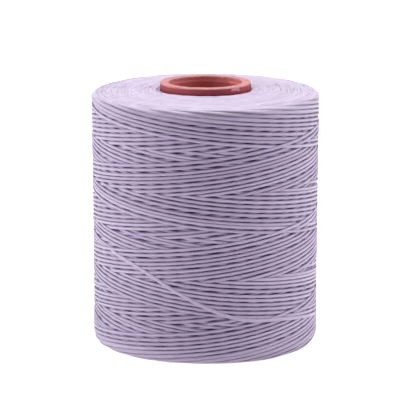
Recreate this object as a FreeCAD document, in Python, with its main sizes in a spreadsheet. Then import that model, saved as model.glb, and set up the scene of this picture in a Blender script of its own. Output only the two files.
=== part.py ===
import FreeCAD, Part
import itertools
import math
import os

import Sketcher
from FreeCAD import Placement, Rotation, Vector

# Waxed thread spool, in millimetres. +Z is up along the tube, and the origin is the middle of the
# tube's lower end, where the spool stands. The front, which shows the loose end, faces -Y.

# Driving dimensions: name, value, what it measures
DIMENSIONS = (
    ("tube_bore", 20.0, "bore of the board tube"),
    ("tube_wall", 2.4, "wall of the board tube"),
    ("tube_length", 73.6, "length of the board tube"),
    ("rim_chamfer", 0.3, "softened edges of the tube's two rims"),
    ("winding_diameter", 62.0, "over the thread, at the shoulders"),
    ("winding_height", 68.3, "between the planes of the two shoulders"),
    ("waist_depth", 0.3, "how far the side draws in halfway up"),
    ("end_rise", 0.8, "how far each end face stands out beside the tube"),
    ("shoulder_bevel", 1.3, "bevel of the bulk's two shoulders"),
    ("tube_gap", 0.05, "radial clearance between the tube and the winding"),
    ("thread_width", 0.9, "across the corners of the thread"),
    ("bed_gap", 0.1, "clearance between the bulk and the turns that lie on it"),
    ("crossing_gap", 0.5, "clearance between turns where they cross"),
    ("turn_inset", 0.9, "from a shoulder's plane to the thread where it turns back"),
    ("thread_sides", 4, "sides of the faceted thread"),
    ("round_trips", 3, "trips up and down the winding in its outer layer"),
    ("trip_turns", 6, "turns in a round trip, before the share that moves the next trip along"),
    ("buried_start", 28.0, "degrees past the loose end where the outer layer comes up"),
)

# The loose end's route, chosen by hand: angle from the front in degrees, positive to the right,
# height, and how far the middle of the thread stands out past the winding's shoulder radius.
LOOSE_END = (
    (115.0, 7.3, -0.45),
    (104.0, 8.1, 0.12),
    (92.0, 9.0, 0.78),
    (80.0, 9.8, 0.90),
    (68.0, 10.6, 0.85),
    (56.0, 11.5, 0.85),
    (44.0, 12.5, 0.85),
    (32.0, 13.3, 0.85),
    (21.0, 14.2, 0.85),
    (11.0, 15.7, 0.85),
    (1.0, 18.0, 0.85),
    (-9.0, 20.6, 0.85),
    (-19.0, 23.1, 0.85),
    (-29.0, 25.7, 0.80),
    (-39.0, 28.2, -0.10),
    (-48.0, 29.7, -1.40),
    (-57.0, 30.8, -2.00),
    (-66.0, 31.7, -2.00),
)
CORNER_SHARE = 0.45  # of the shorter run beside it, which the arc at a corner takes up
POINT_STEP = 0.25  # between the points on which the gaps are measured
SAME_STRETCH = 6  # thread widths along the thread, within which it is no gap to itself

doc = FreeCAD.newDocument("WaxedThreadSpool")
sheet = doc.addObject("Spreadsheet::Sheet", "Dimensions")
for row, (alias, value, meaning) in enumerate(DIMENSIONS, 1):
    sheet.set(f"A{row}", meaning)
    sheet.set(f"B{row}", str(value))
    sheet.setAlias(f"B{row}", alias)
doc.recompute()

size = {alias: float(sheet.get(alias)) for alias, _, _ in DIMENSIONS}

# Sizes that more than one piece uses, first as expressions on the sheet and then as numbers
TUBE_RADIUS = "(tube_bore / 2 + tube_wall)"
LAYER_DEPTH = "(bed_gap + 2 * thread_width + crossing_gap)"
BULK_RADIUS = f"(winding_diameter / 2 - waist_depth - {LAYER_DEPTH})"
LOWER_SHOULDER = "((tube_length - winding_height) / 2)"
UPPER_SHOULDER = "((tube_length + winding_height) / 2)"

tube_radius = size["tube_bore"] / 2 + size["tube_wall"]
winding_radius = size["winding_diameter"] / 2
layer_depth = size["bed_gap"] + 2 * size["thread_width"] + size["crossing_gap"]
bulk_radius = winding_radius - size["waist_depth"] - layer_depth
lower_shoulder = (size["tube_length"] - size["winding_height"]) / 2
upper_shoulder = (size["tube_length"] + size["winding_height"]) / 2
mid_height = size["tube_length"] / 2
thread_radius = size["thread_width"] / 2


def cells(expression):
    """The expression with each driving dimension's name written as a cell of the sheet."""
    words = expression.replace("(", "( ").replace(")", " )").split()
    return " ".join(f"Dimensions.{word}" if word in size else word for word in words)


def origin_feature(body, role):
    """One of the body's own origin planes."""
    return next(item for item in body.Origin.OriginFeatures if item.Role == role)


def new_sketch(body, name, role):
    """An empty sketch on one of the body's origin planes."""
    sketch = body.newObject("Sketcher::SketchObject", name)
    sketch.AttachmentSupport = [(origin_feature(body, role), "")]
    sketch.MapMode = "FlatFace"
    return sketch


def relate(sketch, kind, *places):
    """Add a constraint with no size, such as two points that meet."""
    sketch.addConstraint(Sketcher.Constraint(kind, *places))


def measure(sketch, name, expression, kind, *places):
    """Add a named constraint whose size follows the sheet. places ends with its first value."""
    index = sketch.addConstraint(Sketcher.Constraint(kind, *places))
    sketch.renameConstraint(index, name)
    sketch.setExpression(f"Constraints.{name}", cells(expression))


def circular_edges(shape, radius, heights):
    """Names of the level circular edges of that radius at any of the heights."""
    names = []
    for number, edge in enumerate(shape.Edges, 1):
        circle = edge.Curve
        if not isinstance(circle, Part.Circle) or abs(circle.Radius - radius) > 1e-3:
            continue
        if any(abs(circle.Center.z - height) < 1e-3 for height in heights):
            names.append(f"Edge{number}")
    return names


def make_core_tube():
    """The straight board tube, open from end to end."""
    body = doc.addObject("PartDesign::Body", "core_tube")
    sketch = new_sketch(body, "tube_section", "XY_Plane")
    bore_radius = size["tube_bore"] / 2
    for name, expression, radius in (
        ("bore_radius", "tube_bore / 2", bore_radius),
        ("outside_radius", TUBE_RADIUS, tube_radius),
    ):
        ring = sketch.addGeometry(Part.Circle(Vector(0, 0, 0), Vector(0, 0, 1), radius))
        relate(sketch, "Coincident", ring, 3, -1, 1)
        measure(sketch, name, expression, "Radius", ring, radius)

    pad = body.newObject("PartDesign::Pad", "tube_pad")
    pad.Profile = sketch
    pad.setExpression("Length", cells("tube_length"))
    doc.recompute()

    rims = (0.0, size["tube_length"])
    edges = circular_edges(pad.Shape, bore_radius, rims)
    edges += circular_edges(pad.Shape, tube_radius, rims)
    chamfer = body.newObject("PartDesign::Chamfer", "softened_rims")
    chamfer.Base = (pad, edges)
    chamfer.setExpression("Size", cells("rim_chamfer"))
    return body


def make_winding_body():
    """The bulk of the winding under its outer layer: straight side, coned ends, bevelled shoulders."""
    body = doc.addObject("PartDesign::Body", "winding_body")
    sketch = new_sketch(body, "winding_profile", "XZ_Plane")
    inner = tube_radius + size["tube_gap"]
    crown_radius = f"{TUBE_RADIUS} + tube_gap"
    lower_crown = lower_shoulder - size["end_rise"]
    upper_crown = upper_shoulder + size["end_rise"]
    corners = (
        ("lower_crown", inner, lower_crown, crown_radius, f"{LOWER_SHOULDER} - end_rise"),
        ("lower_rim", bulk_radius, lower_shoulder, BULK_RADIUS, LOWER_SHOULDER),
        ("upper_rim", bulk_radius, upper_shoulder, BULK_RADIUS, UPPER_SHOULDER),
        ("upper_crown", inner, upper_crown, crown_radius, f"{UPPER_SHOULDER} + end_rise"),
    )
    points = [Vector(radius, height, 0) for _, radius, height, _, _ in corners]
    lines = [
        sketch.addGeometry(Part.LineSegment(start, end))
        for start, end in zip(points, points[1:] + points[:1])
    ]
    for line, following in zip(lines, lines[1:] + lines[:1]):
        relate(sketch, "Coincident", line, 2, following, 1)
    for line, (name, radius, height, across, up) in zip(lines, corners):
        measure(sketch, f"{name}_radius", across, "DistanceX", -1, 1, line, 1, radius)
        measure(sketch, f"{name}_height", up, "DistanceY", -1, 1, line, 1, height)

    revolution = body.newObject("PartDesign::Revolution", "wound_bulk")
    revolution.Profile = sketch
    revolution.ReferenceAxis = (sketch, ["V_Axis"])
    revolution.Angle = 360
    doc.recompute()

    rims = (lower_shoulder, upper_shoulder)
    chamfer = body.newObject("PartDesign::Chamfer", "shoulders")
    chamfer.Base = (revolution, circular_edges(revolution.Shape, bulk_radius, rims))
    chamfer.setExpression("Size", cells("shoulder_bevel"))
    return body


def polar(degrees, radius, height):
    """A point at an angle from the front, positive to the right as seen from the front."""
    angle = math.radians(degrees)
    return Vector(radius * math.sin(angle), -radius * math.cos(angle), height)


def side_radius(height):
    """The winding's outer radius at a height, drawn in at the waist."""
    share = abs(height - mid_height) / (size["winding_height"] / 2)
    return winding_radius - size["waist_depth"] * (1 - share)


def unit(vector):
    """The same direction, one millimetre long."""
    return vector / vector.Length


def tangent_arc(start, direction, end):
    """The arc that leaves start in a direction and passes through end."""
    chord = end - start
    across = chord - direction * chord.dot(direction)
    radius = chord.dot(chord) / (2 * across.Length)
    centre = start + unit(across) * radius
    middle = centre + unit((start + end) / 2 - centre) * radius
    return Part.Arc(start, middle, end)


def biarc(start, start_direction, end, end_direction):
    """Two arcs that leave start and reach end in the given directions, and join smoothly."""
    chord = end - start
    total = start_direction + end_direction
    spread = 2 * (1 - start_direction.dot(end_direction))
    along = chord.dot(total)
    reach = (math.sqrt(along * along + spread * chord.dot(chord)) - along) / spread
    joint = (start + start_direction * reach + end - end_direction * reach) / 2
    second = tangent_arc(end, -end_direction, joint)
    second.reverse()
    return [tangent_arc(start, start_direction, joint), second]


class CrossWinding:
    """The outer layer's route. The thread goes up in the outer level and comes down beneath it."""

    def __init__(self):
        trips = size["round_trips"]
        turns_per_trip = size["trip_turns"] - 1 / trips
        self.turns_up = turns_per_trip / 2
        self.turning = 1 / (2 * trips)
        travel = size["winding_height"] - 2 * size["turn_inset"]
        self.lead = travel / (self.turns_up - self.turning / 2)
        self.lowest = lower_shoulder + size["turn_inset"] - self.lead * self.turning / 4
        self.end_point = route_points(LOOSE_END)[0]
        self.end_direction = unit(route_points(LOOSE_END)[1] - self.end_point)
        angle, height, _ = LOOSE_END[0]
        turns_to_end = (height - self.lowest) / self.lead
        self.first_turn_angle = angle + 360 * turns_to_end
        self.first = turns_to_end + size["buried_start"] / 360
        self.last = turns_to_end + turns_per_trip * trips

    def place(self, turns):
        """The point and direction of the straight helix at a number of turns from the first turn."""
        trip = int(turns // self.turns_up)
        part = turns - trip * self.turns_up
        rising = trip % 2 == 0
        climb = self.lead * (part if rising else self.turns_up - part)
        height = self.lowest + climb
        depth = thread_radius
        if not rising:
            depth += size["thread_width"] + size["crossing_gap"]
        radius = side_radius(height) - depth
        degrees = self.first_turn_angle - 360 * turns
        angle = math.radians(degrees)
        slope = self.lead / (2 * math.pi * radius)
        direction = Vector(-math.cos(angle), -math.sin(angle), slope if rising else -slope)
        return polar(degrees, radius, height), unit(direction)

    def stations(self):
        """Places along the route, a quarter turn apart at most, and none where it turns back."""
        found = []
        start = self.first
        while start < self.last:
            turn_back = (start // self.turns_up + 1) * self.turns_up
            end = min(turn_back - self.turning / 2, self.last)
            spans = math.ceil(4 * (end - start) - 1e-6)
            found += [self.place(start + (end - start) * i / spans) for i in range(spans + 1)]
            start = turn_back + self.turning / 2
        return found

    def edges(self):
        """The whole route: up out of the bulk, round the winding, and on to the loose end."""
        stations = self.stations()
        width = size["thread_width"]
        stations[-1] = (self.end_point - self.end_direction * width, self.end_direction)
        point, direction = stations[0]
        outward = Vector(point.x, point.y, 0)
        outward = unit(outward - direction * outward.dot(direction))
        bend = math.hypot(point.x, point.y) - bulk_radius - size["bed_gap"] - width
        foot = point - direction * bend - outward * bend
        edges = [
            Part.LineSegment(foot - outward * width, foot),
            tangent_arc(foot, outward, point),
        ]
        for (start, leaving), (end, arriving) in zip(stations, stations[1:]):
            edges += biarc(start, leaving, end, arriving)
        edges.append(Part.LineSegment(stations[-1][0], self.end_point))
        return edges


def route_points(route):
    """The points of a hand-chosen route round the winding."""
    return [polar(angle, winding_radius + stand_off, height) for angle, height, stand_off in route]


def rounded_route(points):
    """Straight runs joined by arcs as large as the runs allow. Returns the edges and the radii."""
    edges = []
    radii = []
    here = points[0]
    for before, corner, after in zip(points, points[1:], points[2:]):
        trim = CORNER_SHARE * min((corner - before).Length, (after - corner).Length)
        arriving = unit(corner - before)
        leaving = unit(after - corner)
        radii.append(trim / math.tan(arriving.getAngle(leaving) / 2))
        start = corner - arriving * trim
        end = corner + leaving * trim
        edges += [Part.LineSegment(here, start), tangent_arc(start, arriving, end)]
        here = end
    edges.append(Part.LineSegment(here, points[-1]))
    return edges, radii


def make_thread(name, edges):
    """A faceted thread along a route, square to it at both ends."""
    route = doc.addObject("Part::Feature", f"{name}_route")
    route.Shape = Part.Wire([edge.toShape() for edge in edges])

    section = doc.addObject("Part::RegularPolygon", f"{name}_section")
    section.setExpression("Polygon", cells("thread_sides"))
    section.setExpression("Circumradius", cells("thread_width / 2"))
    start = edges[0].StartPoint
    forward = unit(edges[0].EndPoint - start)
    sideways = unit(forward.cross(Vector(0, 0, 1)))
    half_a_side = Rotation(Vector(0, 0, 1), 180 / size["thread_sides"])
    facing = Rotation(sideways, Vector(), forward, "ZXY").multiply(half_a_side)
    section.Placement = Placement(start, facing)

    thread = doc.addObject("Part::Sweep", name)
    thread.Sections = [section]
    thread.Spine = (route, [f"Edge{number}" for number in range(1, len(edges) + 1)])
    thread.Solid = True
    thread.Frenet = False
    return thread


def points_along(route, step):
    """Points at equal steps along a route, each with its distance from the start."""
    found = []
    gone = 0.0
    for edge in route.Shape.Edges:
        count = max(2, math.ceil(edge.Length / step) + 1)
        points = edge.discretize(Number=count)
        for index, point in enumerate(points[:-1]):
            found.append((gone + edge.Length * index / (count - 1), point))
        gone += edge.Length
    found.append((gone, points[-1]))
    return found


def least_gap(first, second, apart):
    """The least gap between two threads, or between parts of one that lie further apart along it."""
    reach = 3 * size["thread_width"]
    boxes = {}
    for distance, point in second:
        box = tuple(math.floor(value / reach) for value in point)
        boxes.setdefault(box, []).append((distance, point))
    least = reach
    for distance, point in first:
        home = [math.floor(value / reach) for value in point]
        for beside in itertools.product((-1, 0, 1), repeat=3):
            box = tuple(index + step for index, step in zip(home, beside))
            for other_distance, other in boxes.get(box, ()):
                if abs(distance - other_distance) > apart:
                    least = min(least, point.distanceToPoint(other))
    return least - size["thread_width"]


core_tube = make_core_tube()
winding_body = make_winding_body()
winding_edges = CrossWinding().edges()
outer_winding = make_thread("outer_winding", winding_edges)
loose_end_edges, bend_radii = rounded_route(route_points(LOOSE_END))
loose_end = make_thread("loose_end", loose_end_edges)
doc.recompute()

pieces = (core_tube, winding_body, outer_winding, loose_end)
for item in doc.Objects:
    if "Invalid" in item.State or "Error" in item.State:
        raise RuntimeError(f"{item.Label} failed: {item.State}")
for piece in pieces:
    if piece.Shape.isNull() or not piece.Shape.isValid() or not piece.Shape.Solids:
        raise RuntimeError(f"{piece.Label} is not a valid solid")

corner_angle = 2 * math.pi / size["thread_sides"]
section_area = size["thread_sides"] / 2 * thread_radius**2 * math.sin(corner_angle)
for thread in (outer_winding, loose_end):
    length = thread.Spine[0].Shape.Length
    share = thread.Shape.Volume / (section_area * length)
    print(f"{thread.Label}: {length:.1f} mm long, volume over section times length {share:.4f}")
print("loose_end bend radii in mm:", " ".join(f"{radius:.1f}" for radius in bend_radii))

wound = points_along(outer_winding.Spine[0], POINT_STEP)
loose = points_along(loose_end.Spine[0], POINT_STEP)
same_stretch = SAME_STRETCH * size["thread_width"]
before_join = [place for place in wound if place[0] < wound[-1][0] - same_stretch]
self_gap = least_gap(wound, wound, same_stretch)
print(f"outer_winding, least gap to itself: {self_gap:.2f} mm")
crossing = least_gap(before_join, loose, -math.inf)
print(f"loose_end, least gap to outer_winding away from their join: {crossing:.2f} mm")

os.makedirs("parts", exist_ok=True)
for piece in pieces:
    piece.Shape.exportStep(f"parts/{piece.Label}.step")
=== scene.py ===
import math

import bpy
import numpy as np
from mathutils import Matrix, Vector


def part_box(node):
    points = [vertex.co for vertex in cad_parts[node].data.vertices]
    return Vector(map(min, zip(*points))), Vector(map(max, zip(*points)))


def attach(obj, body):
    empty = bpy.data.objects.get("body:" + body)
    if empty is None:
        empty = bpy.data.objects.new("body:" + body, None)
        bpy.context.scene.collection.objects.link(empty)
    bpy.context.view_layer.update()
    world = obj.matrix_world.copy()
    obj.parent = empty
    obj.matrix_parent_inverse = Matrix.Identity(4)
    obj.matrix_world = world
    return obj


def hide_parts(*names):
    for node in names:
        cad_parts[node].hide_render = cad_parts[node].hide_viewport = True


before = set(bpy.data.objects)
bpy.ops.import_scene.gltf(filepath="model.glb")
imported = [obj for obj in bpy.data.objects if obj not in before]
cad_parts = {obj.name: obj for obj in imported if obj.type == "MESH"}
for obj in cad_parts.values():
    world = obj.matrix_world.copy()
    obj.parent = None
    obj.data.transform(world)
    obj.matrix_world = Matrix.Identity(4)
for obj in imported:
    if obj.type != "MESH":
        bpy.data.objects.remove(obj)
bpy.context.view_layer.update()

# A spool of waxed thread: a long flat thread, cross-wound on a straight board tube. Lengths are in
# millimetres and become metres where an object is made. Angles round the tube are in degrees from the
# front, positive to the right. The thread runs from right to left across the front as it is wound.
MM = 0.001
FULL_TURN = 2 * math.pi
SEED = 7
random = np.random.default_rng(SEED)

# Sizes, from the frame where it holds them
TUBE_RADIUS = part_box("core_tube")[1].x / MM
TUBE_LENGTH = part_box("core_tube")[1].z / MM
TUBE_BORE_RADIUS = 9.95
END_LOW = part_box("winding_body")[0].z / MM  # the winding's end faces, where they meet the tube
END_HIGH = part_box("winding_body")[1].z / MM
END_RISE = 0.8  # of each end face of the solid, from the shoulder to the tube
FACE_RISE = 0.82  # of the wound thread's end faces
WINDING_RADIUS = 31.0
THREAD_WIDTH = 0.87
THREAD_DEPTH = 0.56

# The thread's loose end: angle, height, and how far out from the winding's radius its middle lies
LOOSE_END = (
    (115.0, 7.3, -0.45), (104.0, 8.1, -0.30), (92.0, 9.0, -0.20), (80.0, 9.9, -0.12),
    (68.0, 10.9, -0.05), (56.0, 11.95, 0.0), (44.0, 12.9, 0.0), (32.0, 13.6, 0.0),
    (21.0, 14.2, 0.0), (11.0, 15.7, 0.0), (1.0, 18.1, 0.0), (-9.0, 20.8, 0.0),
    (-19.0, 23.75, 0.0), (-29.0, 26.6, 0.0), (-39.0, 28.65, 0.0), (-47.0, 29.8, 0.0),
    (-53.5, 30.6, -0.05), (-57.5, 31.2, -0.80), (-64.0, 32.2, -1.90),
)
LOOSE_WIDTH = 1.1
LOOSE_DEPTH = 0.5
LOOSE_TINT = 0.85  # from 0, the darker of the thread's colours, to 1, the lighter
LOOSE_STEPS = 12  # between two points of the route

# The photograph's camera, fitted to the outline of the object
CAMERA_PLACE = (0.0, -550.08, 162.6)
CAMERA_PITCH = 12.51
CAMERA_TURN = 0.153
CAMERA_LENS = 184.0
CAMERA_SENSOR = 36.0
CAMERA_RANGE = (0.05, 20.0)  # in metres, the nearest and farthest that it sees


def polar(radius, angle, height):
    """Points at this radius, angle and height, in millimetres."""
    turn = np.radians(angle)
    return np.stack(np.broadcast_arrays(radius * np.sin(turn), -radius * np.cos(turn), height), -1)


# Camera
def make_camera():
    """The camera, where the photograph was taken from."""
    data = bpy.data.cameras.new("camera")
    data.lens = CAMERA_LENS
    data.sensor_width = CAMERA_SENSOR
    data.clip_start, data.clip_end = CAMERA_RANGE
    camera = bpy.data.objects.new("camera", data)
    camera.location = [value * MM for value in CAMERA_PLACE]
    camera.rotation_euler = (math.radians(90 - CAMERA_PITCH), 0.0, math.radians(CAMERA_TURN))
    bpy.context.scene.collection.objects.link(camera)
    bpy.context.scene.camera = camera


# Meshes
SECTION_SIDES = 8
SECTION_SQUARENESS = 2.1  # 2 is an ellipse, and more is nearer to a rectangle
STRIP_SHARE = 0.45  # of the number of rings is the square of the number of strips on the bake map
BAKE_MARGIN = 0.12  # of each strip, left free of threads
CAP_SIZE = 0.2  # of that margin, from the middle of a thread's end cap to its edge
CAP_PLACE = 0.25  # of that margin, from the strip's upper edge to the middle of a cap
BAKE_BORDER = 0.001  # of the bake map, left free of caps


def section_points(sides):
    """The thread's section, 1 wide and 1 deep, as places across its width and depth."""
    turn = (np.arange(sides) + 0.5) * FULL_TURN / sides
    across, outward = np.cos(turn), np.sin(turn)
    size = np.abs(across) ** SECTION_SQUARENESS + np.abs(outward) ** SECTION_SQUARENESS
    size = size ** (1 / SECTION_SQUARENESS)
    return across / size / 2, outward / size / 2


def running_mean(values, reach):
    """The mean of each value and its neighbours, up to reach places away."""
    padded = np.pad(values, reach, mode="edge")
    return np.convolve(padded, np.full(2 * reach + 1, 1 / (2 * reach + 1)), mode="valid")


def fields(begin, end, low, high):
    """The four corners of each face's field on a map, from the field's sides."""
    begin, end, low, high = np.broadcast_arrays(begin, end, low, high)
    return np.stack([begin, low, begin, high, end, high, end, low], -1).reshape(-1, 2)


class Strands:
    """Stretches of flat thread, gathered to make one mesh of rings of points."""

    def __init__(self):
        self.rings = []
        self.lengths = []  # how many rings each stretch has
        self.places = []  # of the rings, along their stretch
        self.tints = []
        self.buried = []
        self.edges = []

    def add(self, points, outward, width, depth, tint, buried, edge_shade):
        """One stretch through these points, with its flat side facing outward."""
        ahead = np.gradient(points, axis=0)
        ahead /= np.linalg.norm(ahead, axis=1)[:, None]
        side = np.cross(ahead, outward)
        side /= np.linalg.norm(side, axis=1)[:, None]
        normal = np.cross(side, ahead)
        across, up = section_points(SECTION_SIDES)
        width = np.broadcast_to(width, len(points))
        depth = np.broadcast_to(depth, len(points))
        ring = points[:, None, :] + side[:, None, :] * (width[:, None] * across)[:, :, None]
        ring = ring + normal[:, None, :] * (depth[:, None] * up)[:, :, None]
        steps = np.linalg.norm(np.diff(points, axis=0), axis=1)
        self.rings.append(ring)
        self.lengths.append(len(points))
        self.places.append(np.concatenate([[0.0], np.cumsum(steps)]))
        self.tints.append(np.repeat(tint, SECTION_SIDES))
        self.buried.append(np.repeat(buried, SECTION_SIDES))
        self.edges.append((edge_shade[:, None] * 2 * np.abs(across)).ravel())

    def make(self, name):
        """The object, with a map along the thread for its material and one for baking."""
        rings = np.concatenate(self.rings)
        stops = np.cumsum(self.lengths)
        ends = np.concatenate([stops - self.lengths, stops - 1])
        joined = np.ones(len(rings), bool)
        joined[stops - 1] = False
        first = np.flatnonzero(joined)
        corners, sizes = self.faces(len(rings), first, ends)
        points = np.concatenate([rings, rings[ends]]).reshape(-1, 3)
        values = {}
        for label, parts in (("tint", self.tints), ("buried", self.buried), ("edge", self.edges)):
            by_ring = np.concatenate(parts).reshape(-1, SECTION_SIDES)
            values[label] = np.concatenate([by_ring, by_ring[ends]]).ravel()
        return make_object(name, points, corners, sizes, self.maps(len(rings), first, ends), values)

    def faces(self, count, first, ends):
        """Corners and sizes of the faces: those between two rings, then a cap on each end."""
        number = np.arange(SECTION_SIDES)
        after = (number + 1) % SECTION_SIDES
        here = first[:, None] * SECTION_SIDES
        beyond = here + SECTION_SIDES
        quads = np.stack([here + number, here + after, beyond + after, beyond + number], -1).reshape(-1, 4)
        # The caps have points of their own, so that the shading runs straight up to each end.
        caps = (count + np.arange(len(ends)))[:, None] * SECTION_SIDES + number
        half = len(self.lengths)
        caps[:half] = caps[:half, ::-1]
        corners = np.concatenate([quads.ravel(), caps.ravel()])
        sizes = np.concatenate([np.full(len(quads), 4), np.full(len(ends), SECTION_SIDES)])
        return corners, sizes

    def maps(self, count, first, ends):
        """Where each corner lies on the map along the thread and on the one for baking, in strips."""
        number = np.arange(SECTION_SIDES)
        strips = max(1, round(math.sqrt(count * STRIP_SHARE)))
        rings_per_strip = math.ceil(count / strips)
        strip = (first // rings_per_strip)[:, None]
        begin = (first[:, None] - strip * rings_per_strip) / rings_per_strip
        low = (strip + BAKE_MARGIN / 2 + number * (1 - BAKE_MARGIN) / SECTION_SIDES) / strips
        high = low + (1 - BAKE_MARGIN) / SECTION_SIDES / strips
        bake_sides = fields(begin, begin + 1 / rings_per_strip, low, high)

        along = np.concatenate(self.places)[:, None]
        low = number / SECTION_SIDES
        thread_sides = fields(along[first], along[first + 1], low, low + 1 / SECTION_SIDES)

        turn = (number + 0.5) * FULL_TURN / SECTION_SIDES
        cap_ring = np.stack([np.cos(turn), np.sin(turn)], -1) * CAP_SIZE * BAKE_MARGIN / strips
        strip = ends // rings_per_strip
        middles = np.stack([
            (ends - strip * rings_per_strip + 0.5) / rings_per_strip,
            (strip + 1 - CAP_PLACE * BAKE_MARGIN) / strips,
        ], -1).clip(BAKE_BORDER, 1 - BAKE_BORDER)
        first_middles, last_middles = np.split(middles[:, None], 2)
        caps = np.concatenate([first_middles + cap_ring[::-1], last_middles + cap_ring]).reshape(-1, 2)
        return {
            "thread": np.concatenate([thread_sides, np.zeros_like(caps)]),
            "OFBake": np.concatenate([bake_sides, caps]),
        }


def make_object(name, points, corners, sizes, maps=None, values=None):
    """A smooth mesh object from points in millimetres, the corners of its faces and the faces' sizes."""
    mesh = bpy.data.meshes.new(name)
    mesh.vertices.add(len(points))
    mesh.vertices.foreach_set("co", (np.asarray(points) * MM).astype(np.float32).ravel())
    mesh.loops.add(len(corners))
    mesh.loops.foreach_set("vertex_index", corners.astype(np.int32))
    mesh.polygons.add(len(sizes))
    loop_starts = np.concatenate([[0], np.cumsum(sizes)[:-1]])
    mesh.polygons.foreach_set("loop_start", loop_starts.astype(np.int32))
    mesh.update(calc_edges=True)
    mesh.shade_smooth()
    for label, spots in (maps or {}).items():
        layer = mesh.uv_layers.new(name=label, do_init=False)
        layer.uv.foreach_set("vector", spots.astype(np.float32).ravel())
    for label, numbers in (values or {}).items():
        attribute = mesh.attributes.new(label, "FLOAT", "POINT")
        attribute.data.foreach_set("value", numbers.astype(np.float32))
    if mesh.validate():
        raise ValueError(f"{name} has faulty faces")
    made = bpy.data.objects.new(name, mesh)
    bpy.context.scene.collection.objects.link(made)
    return made


def revolved(name, profile, segments):
    """A closed ring of this profile of (radius, height) points, turned about the tube's axis."""
    profile = np.array(profile)
    angles = np.arange(segments) * 360 / segments
    points = polar(profile[None, :, 0], angles[:, None], profile[None, :, 1])
    return closed_ring(name, points, np.ones(len(profile)))


def closed_ring(name, points, shares, values=None):
    """A closed ring from points in a grid of turns and steps. Each step takes its share of the bake map."""
    segments, count = points.shape[:2]
    ring, step = np.arange(segments)[:, None], np.arange(count)
    here, beyond = ring * count, ((ring + 1) % segments) * count
    after = (step + 1) % count
    corners = np.stack([here + step, beyond + step, beyond + after, here + after], -1)
    sizes = np.full(segments * count, 4)
    places = np.concatenate([[0.0], np.cumsum(shares)]) / np.sum(shares)
    left, low, high = np.broadcast_arrays(ring / segments, places[:-1], places[1:])
    right = left + 1 / segments
    bake_map = np.stack([left, low, right, low, right, high, left, high], -1).reshape(-1, 2)
    return make_object(
        name, points.reshape(-1, 3), corners.ravel(), sizes, maps={"OFBake": bake_map}, values=values)


# The loose end: the thread's last stretch, laid over the winding and tucked in
def loose_route():
    """Close points along the loose end, read from a smooth spline on the route's points."""
    curve = bpy.data.curves.new("loose_route", "CURVE")
    curve.dimensions = "3D"
    curve.resolution_u = LOOSE_STEPS
    spline = curve.splines.new("NURBS")
    spline.points.add(len(LOOSE_END) - 1)
    for point, (angle, height, stand_off) in zip(spline.points, LOOSE_END):
        point.co = [*(polar(WINDING_RADIUS + stand_off, angle, height) * MM), 1.0]
    spline.order_u = 3
    spline.use_endpoint_u = True
    route = bpy.data.objects.new("loose_route", curve)
    mesh = bpy.data.meshes.new_from_object(route)
    places = np.zeros(3 * len(mesh.vertices))
    mesh.vertices.foreach_get("co", places)
    bpy.data.objects.remove(route)
    bpy.data.curves.remove(curve)
    bpy.data.meshes.remove(mesh)
    return places.reshape(-1, 3) / MM


def make_loose_end():
    """The flat thread along that route."""
    places = loose_route()
    outward = places * (1, 1, 0)
    outward /= np.linalg.norm(outward, axis=1)[:, None]
    strand = Strands()
    same = np.ones(len(places))
    strand.add(places, outward, LOOSE_WIDTH, LOOSE_DEPTH, LOOSE_TINT * same, 0 * same, same)
    piece = strand.make("loose_thread_end")
    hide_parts("loose_end")
    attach(piece, "root")
    tuple(polar(WINDING_RADIUS + LOOSE_END[0][2], LOOSE_END[0][0], LOOSE_END[0][1]) * MM)
    return piece


make_camera()
loose_thread_end = make_loose_end()


# The winding, laid turn by turn. A sweep covers the whole side once.
SWEEPS = 20
TRIPS_PER_SWEEP = 20  # up, and as many down
TURNS_UP = 3 + 0.5 / TRIPS_PER_SWEEP  # turns in each trip up, and in each trip down
TURN_BACK = 0.08  # of a turn, each side of the place where the thread turns back at an end
APEX_ANGLE = 39.6  # where the newest rising and falling threads cross at mid height
STEPS_PER_TURN = 180
END_SHIFT = 0.035  # how far the places stray where the thread turns back
TRIP_SHIFT = 0.10  # how far a trip up or down strays from its even place
DRIFT = 0.07  # how far the thread wavers along one trip
DRIFT_SPACING = 0.4  # of a turn, between two draws of this waver
DRIFT_BLUR = 20  # steps along the thread, to each side, that smooth the waver
CALM = 0.15  # of a turn, each side of a turn back, in which this straying fades out

# The form of the winding's ends
FACE_MARGIN = 0.34  # from an end face to the middle of the threads that turn back at it
# How far below and above that they really turn back, at these angles
EDGE_ANGLES = (-180, -150, -130, -110, -90, -60, -30, 0, 20, 42, 60, 90, 150, 180)
FOOT_DROP = (0.15, 0.15, 0.15, 0.2, 0.3, 0.3, 0.12, -0.05, 0.15, 0.55, 0.1, 0.0, 0.15, 0.15)
TOP_RISE = (0.15, 0.35, 0.1, -0.05, 0.03, 0.08, 0.15, 0.2, 0.15, 0.12, 0.12, 0.13, 0.17, 0.15)
GROOVE_DEPTH = 1.15  # of the narrow groove round the tube in each end face
GROOVE_SHARE = 0.036  # of all the layers lie in it
FOOT_BULGE = 0.2  # of the foot, to the left
BULGE_REACH = 5  # up the side, in which the bulge fades

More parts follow.
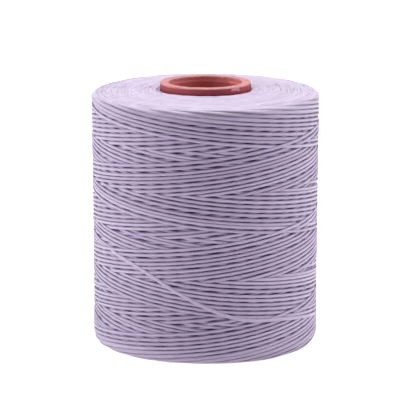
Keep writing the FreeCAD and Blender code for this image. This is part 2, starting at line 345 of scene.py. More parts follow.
# How the thread piles up
HEIGHT_STEP = 0.1  # of the grid on which the winding piles up
PILE_MARGIN = 1.5  # of that grid, past each shoulder
SINK = 0.15  # how far each thread presses into those under it
BRIDGE = 4  # steps along the thread: dips up to twice as long are bridged
STIFFNESS = (2, 1)  # steps along the thread, to each side, that smooth how it lies, one after the other
SETTLING = 0.04  # of each turn: how fast the inner layers take their even form
SETTLING_BLUR = 6  # steps of the grid, to each side, that smooth this settling
GOAL_INSET = 0.25  # of that even form, under the finished side
LAST_LOOSE_SWEEPS = 2.5  # the newest sweeps, which lie as they fall
LEVELLING = 0.97  # of the outer layers' unevenness is pressed away
PRESSED_DEPTH = 4.0  # under the finished side, where this pressing ends
PRESSED_FADE = 1.5  # of that depth, in which it fades out
RAISED_REACH = 5  # steps of the grid: gaps between threads up to twice as wide don't count
ENVELOPE_BLUR = (1, 4)  # places round the tube and up the grid, to each side, that smooth their surface


def side_radius(height):
    """The finished winding's radius at a height above its lower shoulder."""
    heights = (-0.5, -0.2, 0.1, 0.6, 1.5, 2.5, 5.0, 10.0, 34.0, 62.0, 66.3, 67.6, 68.3, 68.6)
    radii = (30.0, 30.3, 30.55, 30.8, 31.0, 31.05, 31.05, 30.98, 31.0, 31.1, 31.22, 31.15, 30.75, 30.2)
    return np.interp(height, heights, radii)


class Winding:
    """The thread's whole path: how high, where round the tube and how far out it lies."""

    def __init__(self):
        self.bottom = END_LOW + END_RISE
        self.height = END_HIGH - END_RISE - self.bottom
        self.lowest = FACE_MARGIN - np.mean(FOOT_DROP)
        self.highest = self.height - FACE_MARGIN + np.mean(TOP_RISE)
        self.count = SWEEPS * (2 * TRIPS_PER_SWEEP) * TURNS_UP
        # The newest trip up passes mid height at the first angle. The trip down after it ends at the other.
        last_up = APEX_ANGLE + 180 / (2 * TRIPS_PER_SWEEP)
        last_reversal = (last_up - 360 / TRIPS_PER_SWEEP + 180 * TURNS_UP) % 360
        onward = (last_reversal - LOOSE_END[0][0]) / 360  # of a turn, from there to the loose end
        self.turn = np.arange(round((self.count + onward) * STEPS_PER_TURN) + 1) / STEPS_PER_TURN
        self.share = np.clip(self.turn / self.count, 0, 1)  # of all the layers
        last = np.clip((self.turn - self.count) / (self.turn[-1] - self.count), 0, 1)
        self.last = last ** 2 * (3 - 2 * last)  # rises to 1 where the loose end begins
        self.first_angle = (last_reversal + 360 * self.count) % 360
        self.angle = self.first_angle - 360 * self.turn
        self.radius = np.zeros(len(self.turn))
        self.rise = self.path()
        self.lay()
        self.level()

    def path(self):
        """Heights above the lower shoulder, up and down with soft turns back."""
        reversals = np.arange(round(self.count / TURNS_UP) + 3)  # and spare ones for the last stretch
        swell = self.swell(reversals * TURNS_UP / self.count)
        angles = (self.first_angle - 360 * reversals * TURNS_UP + 180) % 360 - 180
        lowest = FACE_MARGIN - np.interp(angles, EDGE_ANGLES, FOOT_DROP)
        highest = self.height - FACE_MARGIN + np.interp(angles, EDGE_ANGLES, TOP_RISE)
        ends = np.where(reversals % 2 == 0, lowest - swell, highest + swell)
        ends = ends + random.normal(0, END_SHIFT, len(ends))
        leg = (self.turn // TURNS_UP).astype(int)
        done = self.turn - leg * TURNS_UP
        first, last = ends[leg], ends[leg + 1]
        slope = (last - first) / (TURNS_UP - TURN_BACK)
        near = np.minimum(done, TURNS_UP - done)
        moved = np.where(near < TURN_BACK, near ** 2 / (2 * TURN_BACK), near - TURN_BACK / 2)
        rise = np.where(done < TURNS_UP / 2, first + slope * moved, last - slope * moved)
        rise = rise + self.straying(reversals) * np.clip(near / CALM, 0, 1)
        return rise + (LOOSE_END[0][1] - self.bottom - rise[-1]) * self.last

    def straying(self, reversals):
        """How far the thread would lie from its even place on each trip."""
        knots = np.arange(0, self.turn[-1] + 1.0, DRIFT_SPACING)
        drift = np.interp(self.turn, knots, random.normal(0, DRIFT, len(knots)))
        middles = (reversals + 0.5) * TURNS_UP
        trip_shift = np.interp(self.turn, middles, random.normal(0, TRIP_SHIFT, len(reversals)))
        return running_mean(drift, DRIFT_BLUR) + trip_shift

    def swell(self, share):
        """How far the end faces stand out where this share of the layers is on."""
        return FACE_RISE * (1 - share) - GROOVE_DEPTH * np.exp(-(share / GROOVE_SHARE) ** 2)

    def from_ends(self):
        """How far each point is from where the thread turns back, at the foot and at the top."""
        swell = self.swell(self.share)
        return self.rise - self.lowest + swell, self.highest + swell - self.rise

    def lay(self):
        """Lays each turn on the pile under it. The thread bridges narrow dips and sinks in a little."""
        low, high = -PILE_MARGIN, self.height + PILE_MARGIN
        columns = round((high - low) / HEIGHT_STEP) + 1
        levels = low + np.arange(columns) * HEIGHT_STEP
        pile = np.full((STEPS_PER_TURN, columns), TUBE_RADIUS)
        reach = math.floor(THREAD_WIDTH / 2 / HEIGHT_STEP)
        offsets = np.arange(-reach, reach + 1)
        across = np.abs(offsets * HEIGHT_STEP / (THREAD_WIDTH / 2)).clip(0, 1)
        crown = (1 - across ** SECTION_SQUARENESS) ** (1 / SECTION_SQUARENESS) * THREAD_DEPTH / 2
        column = np.round((self.rise - low) / HEIGHT_STEP).astype(int)
        pad = 2 * BRIDGE + sum(STIFFNESS) + 1
        total = len(self.turn)
        settled = self.count * (1 - LAST_LOOSE_SWEEPS / SWEEPS)
        for start in range(0, total, STEPS_PER_TURN):
            if self.turn[start] < settled:
                gap = self.goal(levels, self.share[start]) - pile.mean(axis=0)
                pile += SETTLING * running_mean(running_mean(gap, SETTLING_BLUR), SETTLING_BLUR)
            stop = min(start + STEPS_PER_TURN, total)
            span = np.arange(max(0, start - pad), min(total, stop + pad))
            rows = span % STEPS_PER_TURN
            spots = column[span][:, None] + offsets
            rest = bridged((pile[rows[:, None], spots] + crown).max(axis=1), BRIDGE)
            for blur in STIFFNESS:
                rest = running_mean(rest, blur)
            keep = slice(start - span[0], stop - span[0])
            self.radius[start:stop] = rest[keep] - SINK
            rows, spots = rows[keep], spots[keep]
            laid = self.radius[start:stop, None] + crown
            pile[rows[:, None], spots] = np.maximum(pile[rows[:, None], spots], laid)
        self.pile, self.levels, self.column = pile, levels, column

    def goal(self, levels, share):
        """The pile's radius at each level when this share of the layers is on."""
        return TUBE_RADIUS + (side_radius(levels) - GOAL_INSET - TUBE_RADIUS) * share

    def level(self):
        """Presses the outer layers into one even surface, whose only relief is that of the threads."""
        row = np.arange(len(self.turn)) % STEPS_PER_TURN
        self.depth = self.pile[row, self.column] - self.radius - THREAD_DEPTH / 2
        angles = np.radians(self.first_angle - 360 * np.arange(STEPS_PER_TURN) / STEPS_PER_TURN)
        to_left = (0.5 - 0.5 * np.sin(angles))[:, None]
        bulge = FOOT_BULGE * to_left * np.exp(-self.levels.clip(0, None) / BULGE_REACH)
        correction = LEVELLING * (side_radius(self.levels) + bulge - envelope(self.pile))
        near_surface = np.clip((self.radius - WINDING_RADIUS + PRESSED_DEPTH) / PRESSED_FADE, 0, 1)
        self.radius = self.radius + near_surface * correction[row, self.column]
        self.radius += (WINDING_RADIUS + LOOSE_END[0][2] - self.radius[-1]) * self.last


def highest_near(values, reach):
    """The highest of each value and its neighbours in the last direction, up to reach places away."""
    count = values.shape[-1]
    margins = [(0, 0)] * (values.ndim - 1) + [(reach, reach)]
    padded = np.pad(values, margins, mode="edge")
    return np.max([padded[..., i:i + count] for i in range(2 * reach + 1)], axis=0)


def bridged(heights, reach):
    """Heights with their narrow dips filled, as a tight thread passes over them."""
    return -highest_near(-highest_near(heights, reach), reach)


def envelope(pile):
    """The even surface that the topmost threads reach, without the gaps between them."""
    return blurred(highest_near(pile, RAISED_REACH), *ENVELOPE_BLUR)


def blurred(grid, wide, high):
    """The grid's mean over this many places each way round the tube and along it."""
    turned = np.concatenate([grid[-wide:], grid, grid[:wide]])
    sums = np.cumsum(np.concatenate([np.zeros((1, grid.shape[1])), turned]), axis=0)
    grid = (sums[2 * wide + 1:] - sums[:-2 * wide - 1]) / (2 * wide + 1)
    padded = np.pad(grid, ((0, 0), (high, high)), mode="edge")
    sums = np.cumsum(np.concatenate([np.zeros((len(grid), 1)), padded], axis=1), axis=1)
    return (sums[:, 2 * high + 1:] - sums[:, :-2 * high - 1]) / (2 * high + 1)


# The thread that shows, made from that path
VISIBLE_DEPTH = 1.05  # under the pile's surface, down to which threads show
END_DEPTH = 1.1  # in from each end, up to which every thread shows
SHOWN_REACH = 6  # steps of thread that are kept past each end of what shows
TRIANGLES_PER_PIECE = 180000
TINT_SPACING = 0.8  # of a turn, between two draws of the thread's tint
WIDTH_CHANGE = 0.05  # of the thread's width
WIDTH_SPACING = 0.4  # of a turn, between two draws of it
SWAY = 5.0  # how far the thread leans to and fro along its way
SWAY_SPACING = 0.15  # of a turn, between two draws of it
SWAY_BLUR = 4  # steps along the thread, to each side, that smooth it
SHOULDER = 1.9  # how far from an end the threads begin to lean over
LEAN = 85.0  # how far they lean where they turn back
LEAN_POWER = 1.5  # more than 1, so that they first lean slowly
END_SPREAD = 0.5  # of the threads' width, where they are pressed flat near the ends
SPREAD_PLACES = (0.0, 0.5, 1.6, 3.5)  # from an end
SPREAD_SHARES = (0.3, 1.0, 1.0, 0.0)  # of this spread, at these places
END_LIGHT = 0.5  # of the edges' painted shade is left out where the thread turns back


def visible_stretches(winding, most):
    """First and past-last numbers of the stretches that show, each of this many steps at most."""
    from_foot, from_top = winding.from_ends()
    shows = (winding.depth < VISIBLE_DEPTH) | (from_foot < END_DEPTH) | (from_top < END_DEPTH)
    shows = np.convolve(shows, np.ones(2 * SHOWN_REACH + 1), mode="same") > 0
    edges = np.flatnonzero(np.diff(np.concatenate([[False], shows, [False]]).astype(int)))
    stretches = []
    for begin, end in zip(edges[::2], edges[1::2]):
        cuts = [*range(begin, end - 1, most), end - 1]
        stretches += [(low, high + 1) for low, high in zip(cuts, cuts[1:])]
    return stretches


def varied(turn, spacing, draw):
    """A value that changes smoothly along the thread, from one random draw in each stretch this long."""
    knots = np.arange(0, turn[-1] + 2, spacing)
    return np.interp(turn, knots, draw(len(knots)))


def make_winding():
    """The thread that shows, in as few pieces as their triangles allow."""
    winding = Winding()
    turn = winding.turn
    tint = varied(turn, TINT_SPACING, lambda count: random.uniform(0, 1, count))
    change = varied(turn, WIDTH_SPACING, lambda count: random.normal(0, 1, count))
    sway = varied(turn, SWAY_SPACING, lambda count: random.normal(0, 1, count))
    from_foot, from_top = winding.from_ends()
    at_foot = np.clip(1 - from_foot / SHOULDER, 0, 1)
    at_top = np.clip(1 - from_top / SHOULDER, 0, 1)
    at_end = np.maximum(at_foot, at_top)
    width = THREAD_WIDTH * (1 + WIDTH_CHANGE * change)
    width += (LOOSE_WIDTH - THREAD_WIDTH) * winding.last
    width *= 1 + END_SPREAD * np.interp(np.minimum(from_foot, from_top), SPREAD_PLACES, SPREAD_SHARES)
    lean = SWAY * running_mean(sway, SWAY_BLUR)
    lean = np.radians(lean + LEAN * (at_top ** LEAN_POWER - at_foot ** LEAN_POWER))
    # A thread that leans reaches farther out, so its middle moves in by as much.
    reach_out = np.hypot(width / 2 * np.sin(lean), THREAD_DEPTH / 2 * np.cos(lean))
    radius = winding.radius - (reach_out - THREAD_DEPTH / 2)
    places = polar(radius, winding.angle, winding.bottom + winding.rise)
    outward = polar(np.cos(lean), winding.angle, np.sin(lean))
    # Painted shade: the material darkens buried threads, and the narrow sides except where the thread turns
    # back.
    buried = np.clip(winding.depth / VISIBLE_DEPTH, 0, 1) * (1 - at_end)
    edge_shade = 1 - END_LIGHT * at_end

    pieces, strands = [], Strands()
    most = TRIANGLES_PER_PIECE // (2 * SECTION_SIDES)
    for begin, end in visible_stretches(winding, most):
        if strands.lengths and sum(strands.lengths) + end - begin > most + 1:
            pieces.append(strands.make(f"wound_thread_{len(pieces) + 1}"))
            strands = Strands()
        span = slice(begin, end)
        strands.add(
            places[span], outward[span], width[span], THREAD_DEPTH, tint[span], buried[span],
            edge_shade[span])
    pieces.append(strands.make(f"wound_thread_{len(pieces) + 1}"))
    return pieces


wound_threads = make_winding()
for piece in wound_threads:
    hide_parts("outer_winding")
    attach(piece, "root")


# The inner layers. The first pairs say how far out from the tube and in from the end face their form goes,
# and the others how far under the side and in from the shoulder.
GROUND_BY_TUBE = ((0.0, 0.9 + GROOVE_DEPTH), (1.2, 0.95))
GROUND_BY_SIDE = ((1.5, 0.5), (0.8, 1.0), (0.75, 2.0), (2.2, 4.0))
GROUND_SEGMENTS = 180


def make_inner_winding():
    """The inner layers, which show only as a darker ground between the outer threads: painted shade in the
    gaps.
    """
    half = [(TUBE_RADIUS + out, inset) for out, inset in GROUND_BY_TUBE]
    half += [(WINDING_RADIUS - under, END_RISE + inset) for under, inset in GROUND_BY_SIDE]
    profile = [(radius, END_LOW + inset) for radius, inset in half]
    profile += [(radius, END_HIGH - inset) for radius, inset in half[::-1]]
    return revolved("inner_winding", profile, GROUND_SEGMENTS)


inner_winding = make_inner_winding()
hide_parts("winding_body")
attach(inner_winding, "root")


# The board tube
WALL = TUBE_RADIUS - TUBE_BORE_RADIUS
TUBE_SEGMENTS = 240
RIM_ROWS = 25  # across each rim
OUTSIDE_ROWS = (3.0, 18, 6)  # how far from each end the close rows reach, how many, and how many between
BORE_ROWS = (14.0, 56, 20)  # the same in the bore
ROW_GAP = 2.0  # from the close rows to those between
RIM_ROUND = 0.22  # of the soft edges of the tube's ends
PLIES = 5
PLY_GROOVE = 0.07  # of the lines between plies on the rims
PLY_SHARPNESS = 6  # of these lines
PLY_STEP = 0.28  # how far the innermost ply's edge stands up in the bore
SEAM_LEAD = 46.0  # how far the ply's edge climbs in one turn
SEAM_START = 0.42  # of a turn, where the ply's edge meets the upper rim
SEAM_WIDTH = 0.008  # of a turn, in which that edge steps up
LEDGE_DEPTH = 1.35  # below each rim, where the innermost ply begins
LEDGE_STEP = 0.2  # how far it stands into the bore there
LEDGE_SLOPE = 0.25  # along the bore, in which the ledge steps up
FUZZ_POWER = 4  # how near to the rim's edges its fuzz keeps
RIM_REACH = 1.2  # along the wall, in which the unevenness of each rim fades
RIM_BAKE_SHARE = 6  # how much more of the bake map the rims take

# Ripples round the tube: the fewest and the most waves in a turn, and their size (the seam's in turns)
UNEVEN_CUT = (2, 9, 0.06)
OUTER_WAVE = (2, 5, 0.06)
INNER_WAVE = (2, 7, 0.09)
OUTER_FUZZ = (25, 70, 0.03)
INNER_FUZZ = (20, 70, 0.07)
RAGGED_SEAM = (8, 50, 0.006)
UNEVEN_LEDGE = (1, 9, 0.14)
RAGGED_PATCH_EDGE = (20, 60, 0.12)

# Where the tube's colour changes
NEAR_SIDE = 0.1  # of the wall, from its outside or its bore, that counts as that side
SOFT_EDGE = 0.08  # along the wall, in which the pale cut of a rim, partly a painted highlight, fades
PLY_EDGE = 0.4  # how much of that cut shows at a ply's edge
SEAM_EDGE = 1.5  # seam widths that this edge takes up
LEDGE_EDGE = 0.14  # to each side of the ledge, the same
PATCH_ANGLE = 40.5  # of the pale patch's middle
PATCH_DEPTH = 0.62  # of its middle, below the rim
PATCH_TURN = 6.6  # from its middle to its sides, in degrees
PATCH_RISE = 0.42  # from its middle to its upper edge
PATCH_REACH = 1.1  # of these two distances, where it ends
PATCH_SHARPNESS = 4  # of its edges
CONTACT_SHADE_EDGE = 1.1  # below each rim, where painted shade begins to darken the wall towards the winding
CONTACT_SHADE_FADE = 0.7  # along the wall, in which it darkens


def ripple(angle, fewest, most, size):
    """A soft uneven ripple round the tube, of waves between these two numbers a turn."""
    counts = np.arange(fewest, most + 1)
    phases = random.uniform(0, FULL_TURN, len(counts))
    sizes = random.normal(0, size / math.sqrt(len(counts)), len(counts))
    return (sizes * np.cos(np.radians(angle)[..., None] * counts + phases)).sum(axis=-1)


def wall_rows(reach, close, between):
    """Heights up a side of the wall, with close rows up to this reach from each end."""
    return np.concatenate([
        np.linspace(RIM_ROUND, reach, close)[1:],
        np.linspace(reach + ROW_GAP, TUBE_LENGTH - (reach + ROW_GAP), between),
        np.linspace(TUBE_LENGTH - reach, TUBE_LENGTH - RIM_ROUND, close)[:-1],
    ])


def tube_outline():
    """Rows up the outside, across the rim, down the bore and across the foot. Each has a height, a share of
    the way in through the wall, and 1 for a row on a rim or 0."""
    rim = np.linspace(0, 1, RIM_ROWS)
    from_edge = np.minimum(rim, 1 - rim) * WALL
    drop = RIM_ROUND - np.sqrt(RIM_ROUND ** 2 - np.clip(RIM_ROUND - from_edge, 0, None) ** 2)
    drop = drop + PLY_GROOVE * (0.5 + 0.5 * np.cos(FULL_TURN * PLIES * rim)) ** PLY_SHARPNESS
    outside, bore = wall_rows(*OUTSIDE_ROWS), wall_rows(*BORE_ROWS)[::-1]
    height = np.concatenate([outside, TUBE_LENGTH - drop, bore, drop])
    inward = np.concatenate([np.zeros(len(outside)), rim, np.ones(len(bore)), rim[::-1]])
    on_rim = np.repeat([0.0, 1.0, 0.0, 1.0], [len(outside), len(rim), len(bore), len(rim)])
    return height, inward, on_rim


def make_board_tube():
    """The spiral wound tube, with uneven rims, ply lines, and a ragged ply edge in its bore."""
    height, inward, on_rim = tube_outline()
    angle = np.arange(TUBE_SEGMENTS)[:, None] * 360 / TUBE_SEGMENTS
    uneven_cut = np.abs(ripple(angle, *UNEVEN_CUT))
    outer_wave = ripple(angle, *OUTER_WAVE)
    inner_wave = ripple(angle, *INNER_WAVE)
    outer_fuzz = ripple(angle, *OUTER_FUZZ)
    inner_fuzz = ripple(angle, *INNER_FUZZ)
    ragged_seam = ripple(angle, *RAGGED_SEAM)
    uneven_ledge = ripple(angle, *UNEVEN_LEDGE)
    ragged_patch_edge = ripple(angle, *RAGGED_PATCH_EDGE)

    radius = TUBE_RADIUS - WALL * inward + outer_wave * (1 - inward) + inner_wave * inward
    fuzz = outer_fuzz * (1 - inward) ** FUZZ_POWER + inner_fuzz * inward ** FUZZ_POWER
    radius = radius + on_rim * fuzz
    turn = angle / 360 + (TUBE_LENGTH - height) / SEAM_LEAD - SEAM_START + ragged_seam
    past_seam = turn % 1
    step = np.where(past_seam < SEAM_WIDTH, past_seam / SEAM_WIDTH, 1 - past_seam)
    from_end = np.minimum(height, TUBE_LENGTH - height)
    past_ledge = from_end - LEDGE_DEPTH - uneven_ledge
    below_ledge = np.clip(0.5 + past_ledge / LEDGE_SLOPE, 0, 1)
    radius = radius - inward * below_ledge * (LEDGE_STEP - PLY_STEP * (step - 0.5))
    near_rim = np.exp(-from_end / RIM_REACH)
    upper = np.where(height > TUBE_LENGTH / 2, 1, -1)
    height = height - upper * near_rim * uneven_cut
    points = polar(radius, angle, height)

    at_outside, at_bore = inward < NEAR_SIDE, inward > 1 - NEAR_SIDE
    lit_rim_cut = np.maximum(np.exp(-from_end / SOFT_EDGE), on_rim)
    at_ply_edge = (past_seam < SEAM_EDGE * SEAM_WIDTH) | (np.abs(past_ledge) < LEDGE_EDGE)
    from_patch = np.maximum(
        np.abs(((angle - PATCH_ANGLE + 180) % 360 - 180) / PATCH_TURN),
        np.abs((TUBE_LENGTH - PATCH_DEPTH + ragged_patch_edge - height) / PATCH_RISE))
    values = {
        # Paler cut board, partly a painted highlight on the rims and the ply edges.
        "cut": np.maximum(lit_rim_cut, PLY_EDGE * (at_ply_edge & at_bore)),
        "pale_patch": at_outside * np.clip(PATCH_SHARPNESS * (PATCH_REACH - from_patch), 0, 1),
        "lining": inward,
        # Brighter bore wall above the ledge, partly a painted band of light.
        "bare_and_lit": inward * (1 - below_ledge),
        # Painted shade, not wax: the outer wall darkens towards the winding.
        "waxed": at_outside * np.clip((from_end - CONTACT_SHADE_EDGE) / CONTACT_SHADE_FADE, 0, 1),
    }
    values = {label: np.broadcast_to(value, radius.shape).ravel() for label, value in values.items()}
    lengths = np.linalg.norm(np.diff(points[0], axis=0, append=points[0][:1]), axis=1)
    return closed_ring("board_tube", points, lengths * (1 + RIM_BAKE_SHARE * near_rim), values)


board_tube = make_board_tube()
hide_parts("core_tube")
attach(board_tube, "root")


# Materials
THREAD_COLOURS = ((0.475, 0.395, 0.515), (0.598, 0.515, 0.645))
THREAD_PINK = (0.60, 0.46, 0.62)
# THREAD_DARK is the dark of the filaments and twist marks, and of the painted shade on buried threads and
# narrow sides.
THREAD_DARK = (0.15, 0.01, 0.40)
PINK_SHADE = 0.3  # how far the thread's colour goes to pink in blotches
FILAMENT_SHADE = 0.12  # how far it goes to dark between the filaments
TWIST_SHADE = 0.16  # the same between the strands' slanting marks
BURIED_PAINTED_SHADE = 0.18  # the same for buried threads: painted shade, where the threads over them would shade them
EDGE_PAINTED_SHADE = 0.45  # the same for the narrow sides of every thread: painted shade in the gaps between threads
FILAMENTS = 14.0  # of the noise's cells, round the thread
FILAMENT_STRETCH = 0.45  # cells for each millimetre along it
FILAMENT_TWIST = -2.2  # cells round the thread that the filaments turn in each millimetre
TWIST_SPACING = 0.45  # of the strands' slanting marks, along the thread
TWIST_STARTS = 3.0  # how many of them one turn round the thread crosses
TWIST_RELIEF = 0.5  # of these marks, as a share of the filaments' relief
WAVE_SCALE = FULL_TURN / 20  # at which the wave texture repeats once for each unit
SHEEN = 0.6  # of the wax, at a low angle
# Painted shade: the inner layers' dark violet stands for the shade deep in the gaps between the outer
# threads.
GROUND_SHADE_COLOURS = ((0.15, 0.08, 0.27), (0.31, 0.20, 0.46))
GROUND_GRAIN = (60, 60, 1500)  # cells for each metre, so that the ground is lined round the tube
BOARD_COLOURS = ((0.335, 0.047, 0.058), (0.45, 0.083, 0.09))
# Paler cut board, partly a painted highlight on the top-lit rims and the ply edges.
CUT_AND_LIT_COLOURS = ((0.43, 0.182, 0.188), (0.545, 0.26, 0.27))
LINING_COLOUR = (0.55, 0.13, 0.125)  # of the bore
BARE_AND_LIT_COLOUR = (0.71, 0.20, 0.195)  # of the wall in the bore, above the ledge: partly a painted band of light at the top of the bore
# Painted shade at the foot of the tube's wall, by the winding.
CONTACT_SHADE_COLOUR = (0.12, 0.012, 0.04)
PATCH_COLOUR = (0.74, 0.33, 0.33)


def new_material(name):
    """A material with one plain shader, its node tree and that shader."""
    material = bpy.data.materials.new(name)
    material.use_nodes = True
    tree = material.node_tree
    tree.nodes.clear()
    output = tree.nodes.new("ShaderNodeOutputMaterial")
    shader = tree.nodes.new("ShaderNodeBsdfPrincipled")
    tree.links.new(shader.outputs[0], output.inputs[0])
    return material, tree, shader


def link_noise(tree, vector, scale, detail):
    """A noise texture on these coordinates; gives its factor."""
    noise = tree.nodes.new("ShaderNodeTexNoise")
    noise.inputs["Scale"].default_value = scale
    noise.inputs["Detail"].default_value = detail
    tree.links.new(vector, noise.inputs["Vector"])
    return noise.outputs["Fac"]


def link_range(tree, value, span, to):
    """The value, taken from one range to another."""
    share = tree.nodes.new("ShaderNodeMapRange")
    share.inputs["From Min"].default_value, share.inputs["From Max"].default_value = span
    share.inputs["To Min"].default_value, share.inputs["To Max"].default_value = to
    tree.links.new(value, share.inputs["Value"])
    return share.outputs[0]


def link_ramp(tree, value, span, colours):
    """Two colours between these places of a value."""
    ramp = tree.nodes.new("ShaderNodeValToRGB")
    for element, place, colour in zip(ramp.color_ramp.elements, span, colours):
        element.position = place
        element.color = (*colour, 1)
    tree.links.new(value, ramp.inputs[0])
    return ramp.outputs[0]


def link_mix(tree, share, under, over):
    """The colour under, covered by the colour over where the share is 1."""
    mix = tree.nodes.new("ShaderNodeMix")
    mix.data_type = "RGBA"
    tree.links.new(share, mix.inputs["Factor"])
    for socket, colour in (("A", under), ("B", over)):
        if isinstance(colour, tuple):
            mix.inputs[socket].default_value = (*colour, 1)
        else:
            tree.links.new(colour, mix.inputs[socket])
    return mix.outputs["Result"]


def link_attribute(tree, label):
    """The value with this label that the mesh's points hold."""
    attribute = tree.nodes.new("ShaderNodeAttribute")
    attribute.attribute_name = label
    return attribute.outputs["Fac"]


def link_bump(tree, shader, height, strength, distance):
    """Fine relief on the shader, this many millimetres high."""
    bump = tree.nodes.new("ShaderNodeBump")
    bump.inputs["Strength"].default_value = strength
    bump.inputs["Distance"].default_value = distance * MM
    tree.links.new(height, bump.inputs["Height"])
    tree.links.new(bump.outputs[0], shader.inputs["Normal"])


def link_product(tree, value, factor, added=None):
    """The value times a factor, with another value added to it."""
    product = tree.nodes.new("ShaderNodeMath")
    product.operation = "MULTIPLY_ADD"
    product.inputs[1].default_value = factor
    product.inputs[2].default_value = 0.0
    tree.links.new(value, product.inputs[0])
    if added is not None:
        tree.links.new(added, product.inputs[2])
    return product.outputs[0]


def link_point(tree, x, y=None):
    """Coordinates made of these values, for a texture."""
    point = tree.nodes.new("ShaderNodeCombineXYZ")
    tree.links.new(x, point.inputs[0])
    if y is not None:
        tree.links.new(y, point.inputs[1])
    return point.outputs[0]


def thread_material():
    """Flat waxed thread: fine filaments with a slight twist, a soft shine, and painted shade on buried
    threads and on the threads' narrow sides.
    """
    material, tree, shader = new_material("waxed_thread")
    thread_map = tree.nodes.new("ShaderNodeUVMap")
    thread_map.uv_map = "thread"
    split = tree.nodes.new("ShaderNodeSeparateXYZ")
    tree.links.new(thread_map.outputs[0], split.inputs[0])
    along, around = split.outputs[0], split.outputs[1]
    stretched = link_product(tree, along, FILAMENT_STRETCH)
    twisted = link_product(tree, along, FILAMENT_TWIST, added=link_product(tree, around, FILAMENTS))
    filaments = link_noise(tree, link_point(tree, stretched, twisted), scale=1.0, detail=2)
    slant = link_product(tree, around, -TWIST_STARTS)
    marks = link_product(tree, along, 1 / TWIST_SPACING, added=slant)
    twist = tree.nodes.new("ShaderNodeTexWave")
    twist.inputs["Scale"].default_value = WAVE_SCALE
    twist.inputs["Distortion"].default_value = 1.2
    twist.inputs["Detail Scale"].default_value = 0.6
    tree.links.new(link_point(tree, marks), twist.inputs["Vector"])
    strands = twist.outputs["Fac"]
    place = tree.nodes.new("ShaderNodeTexCoord").outputs["Object"]
    blotches = link_noise(tree, place, scale=170, detail=2)
    buried, edge = link_attribute(tree, "buried"), link_attribute(tree, "edge")

    colour = link_ramp(tree, link_attribute(tree, "tint"), (0.0, 1.0), THREAD_COLOURS)
    # What changes the colour: a value, its range, how much it covers at each end of that, and with what
    for value, span, shades, over in (
            (blotches, (0.5, 0.8), (0.0, PINK_SHADE), THREAD_PINK),
            (filaments, (0.35, 0.65), (FILAMENT_SHADE, 0.0), THREAD_DARK),
            (strands, (0.0, 0.7), (TWIST_SHADE, 0.0), THREAD_DARK),
            # The last two are painted shade: buried threads and narrow sides darken as the shaded gaps
            # between threads would.
            (buried, (0.02, 0.35), (0.0, BURIED_PAINTED_SHADE), THREAD_DARK),
            (edge, (0.45, 0.9), (0.0, EDGE_PAINTED_SHADE), THREAD_DARK)):
        colour = link_mix(tree, link_range(tree, value, span, shades), colour, over)
    tree.links.new(colour, shader.inputs["Base Color"])
    roughness = link_range(tree, filaments, (0.3, 0.7), (0.42, 0.58))
    tree.links.new(roughness, shader.inputs["Roughness"])
    shader.inputs["Specular IOR Level"].default_value = 0.4
    shader.inputs["Sheen Weight"].default_value = SHEEN
    relief = link_product(tree, strands, TWIST_RELIEF, added=filaments)
    link_bump(tree, shader, relief, strength=0.4, distance=0.06)
    return material


def ground_material():
    """The inner layers, painted dark as the shade deep in the gaps between the outer threads, with the
    lines of their turns.
    """
    material, tree, shader = new_material("shaded_inner_thread")
    place = tree.nodes.new("ShaderNodeTexCoord").outputs["Object"]
    stretched = tree.nodes.new("ShaderNodeVectorMath")
    stretched.operation = "MULTIPLY"
    stretched.inputs[1].default_value = GROUND_GRAIN
    tree.links.new(place, stretched.inputs[0])
    turns = link_noise(tree, stretched.outputs[0], scale=1.0, detail=2)
    colour = link_ramp(tree, turns, (0.35, 0.65), GROUND_SHADE_COLOURS)
    tree.links.new(colour, shader.inputs["Base Color"])
    shader.inputs["Roughness"].default_value = 0.7
    link_bump(tree, shader, turns, strength=0.6, distance=0.2)
    return material


def board_material():
    """Red board with soft fibres: paler where it is cut, partly a painted highlight, and in a pale patch;
    brighter in the bore above the ledge, partly a painted band of light; and darker by the winding, a
    painted shade.
    """
    material, tree, shader = new_material("board")
    place = tree.nodes.new("ShaderNodeTexCoord").outputs["Object"]
    fibres = link_noise(tree, place, scale=900, detail=4)
    blotches = link_noise(tree, place, scale=220, detail=3)
    pale = link_ramp(tree, fibres, (0.3, 0.7), CUT_AND_LIT_COLOURS)
    colour = link_ramp(tree, blotches, (0.3, 0.7), BOARD_COLOURS)
    # What covers the board's own colour, from the bottom up: where, how much and with what
    for label, strength, over in (
            ("lining", 1.0, LINING_COLOUR), ("bare_and_lit", 1.0, BARE_AND_LIT_COLOUR), ("cut", 0.95, pale),
            ("waxed", 0.55, CONTACT_SHADE_COLOUR), ("pale_patch", 0.9, PATCH_COLOUR)):
        share = link_range(tree, link_attribute(tree, label), (0.0, 1.0), (0.0, strength))
        colour = link_mix(tree, share, colour, over)
    tree.links.new(colour, shader.inputs["Base Color"])
    shader.inputs["Roughness"].default_value = 0.65
    shader.inputs["Specular IOR Level"].default_value = 0.3
    link_bump(tree, shader, fibres, strength=0.5, distance=0.1)
    return material


thread = thread_material()
for piece in [loose_thread_end, *wound_threads]:
    piece.data.materials.append(thread)
inner_winding.data.materials.append(ground_material())
board_tube.data.materials.append(board_material())


# Floor and light
FLOOR_SIZE = 4000.0  # from the middle to each side
FLOOR_GREY = 0.75
FLOOR_GLOW = 0.18  # of the floor, which lights the object from below
FLOOR_SEEN = 0.96  # the same, as the camera sees it
AMBIENT = 0.04  # light from all round
AIM_HEIGHT = 0.035  # in metres, where the lamps point
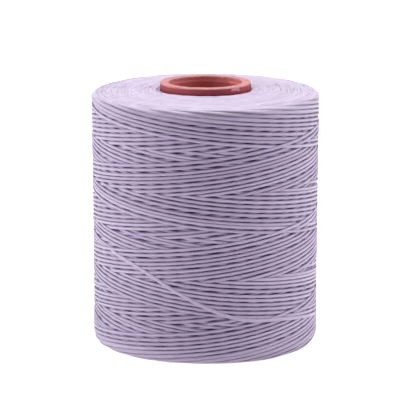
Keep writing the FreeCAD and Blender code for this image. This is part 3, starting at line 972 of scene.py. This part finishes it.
# The lamps, with their places and sizes in metres and their power
LAMPS = (
    ("top_light", (0.0, 0.10, 0.9), (0.8, 0.6), 8.8),
    ("right_top_light", (0.55, 0.0, 0.75), (0.4, 0.4), 3.7),
    ("left_light", (-0.8, -0.10, 0.30), (0.5, 0.8), 5.0),
    ("left_back_light", (-0.7, 0.4, 0.20), (0.4, 0.4), 0.8),
    ("back_light", (0.0, 0.8, 0.22), (0.8, 0.2), 0.6),
    ("right_light", (0.8, -0.05, 0.30), (0.5, 0.8), 1.0),
    ("right_back_light", (0.7, 0.4, 0.20), (0.4, 0.4), 0.6),
)


def camera_share(tree, unseen, seen):
    """The first number for light that falls on things, and the second for what the camera sees."""
    path = tree.nodes.new("ShaderNodeLightPath")
    return link_range(tree, path.outputs["Is Camera Ray"], (0.0, 1.0), (unseen, seen))


def make_stage():
    """A pale floor that glows a little."""
    corners = np.array([0, 1, 2, 3])
    points = np.array([(-1, -1, 0), (1, -1, 0), (1, 1, 0), (-1, 1, 0)]) * FLOOR_SIZE
    floor = make_object("floor", points, corners, np.array([4]))
    material, tree, shader = new_material("pale_floor")
    shader.inputs["Base Color"].default_value = (FLOOR_GREY, FLOOR_GREY, FLOOR_GREY, 1)
    shader.inputs["Roughness"].default_value = 0.9
    shader.inputs["Emission Color"].default_value = (1, 1, 1, 1)
    tree.links.new(camera_share(tree, FLOOR_GLOW, FLOOR_SEEN), shader.inputs["Emission Strength"])
    floor.data.materials.append(material)


def area_light(name, place, size, power):
    """A soft rectangular lamp, turned towards the object."""
    data = bpy.data.lights.new(name, "AREA")
    data.shape = "RECTANGLE"
    data.size, data.size_y = size
    data.energy = power
    light = bpy.data.objects.new(name, data)
    light.location = place
    aim = Vector((0.0, 0.0, AIM_HEIGHT)) - Vector(place)
    light.rotation_euler = aim.to_track_quat("-Z", "Y").to_euler()
    bpy.context.scene.collection.objects.link(light)


def make_lights():
    """The lamps, and a white world that lights the object only faintly."""
    world = bpy.data.worlds.new("studio")
    world.use_nodes = True
    tree = world.node_tree
    background = tree.nodes["Background"]
    background.inputs[0].default_value = (1, 1, 1, 1)
    tree.links.new(camera_share(tree, AMBIENT, 1.0), background.inputs[1])
    bpy.context.scene.world = world
    for lamp in LAMPS:
        area_light(*lamp)
    bpy.context.scene.view_settings.view_transform = "Standard"


make_stage()
make_lights()
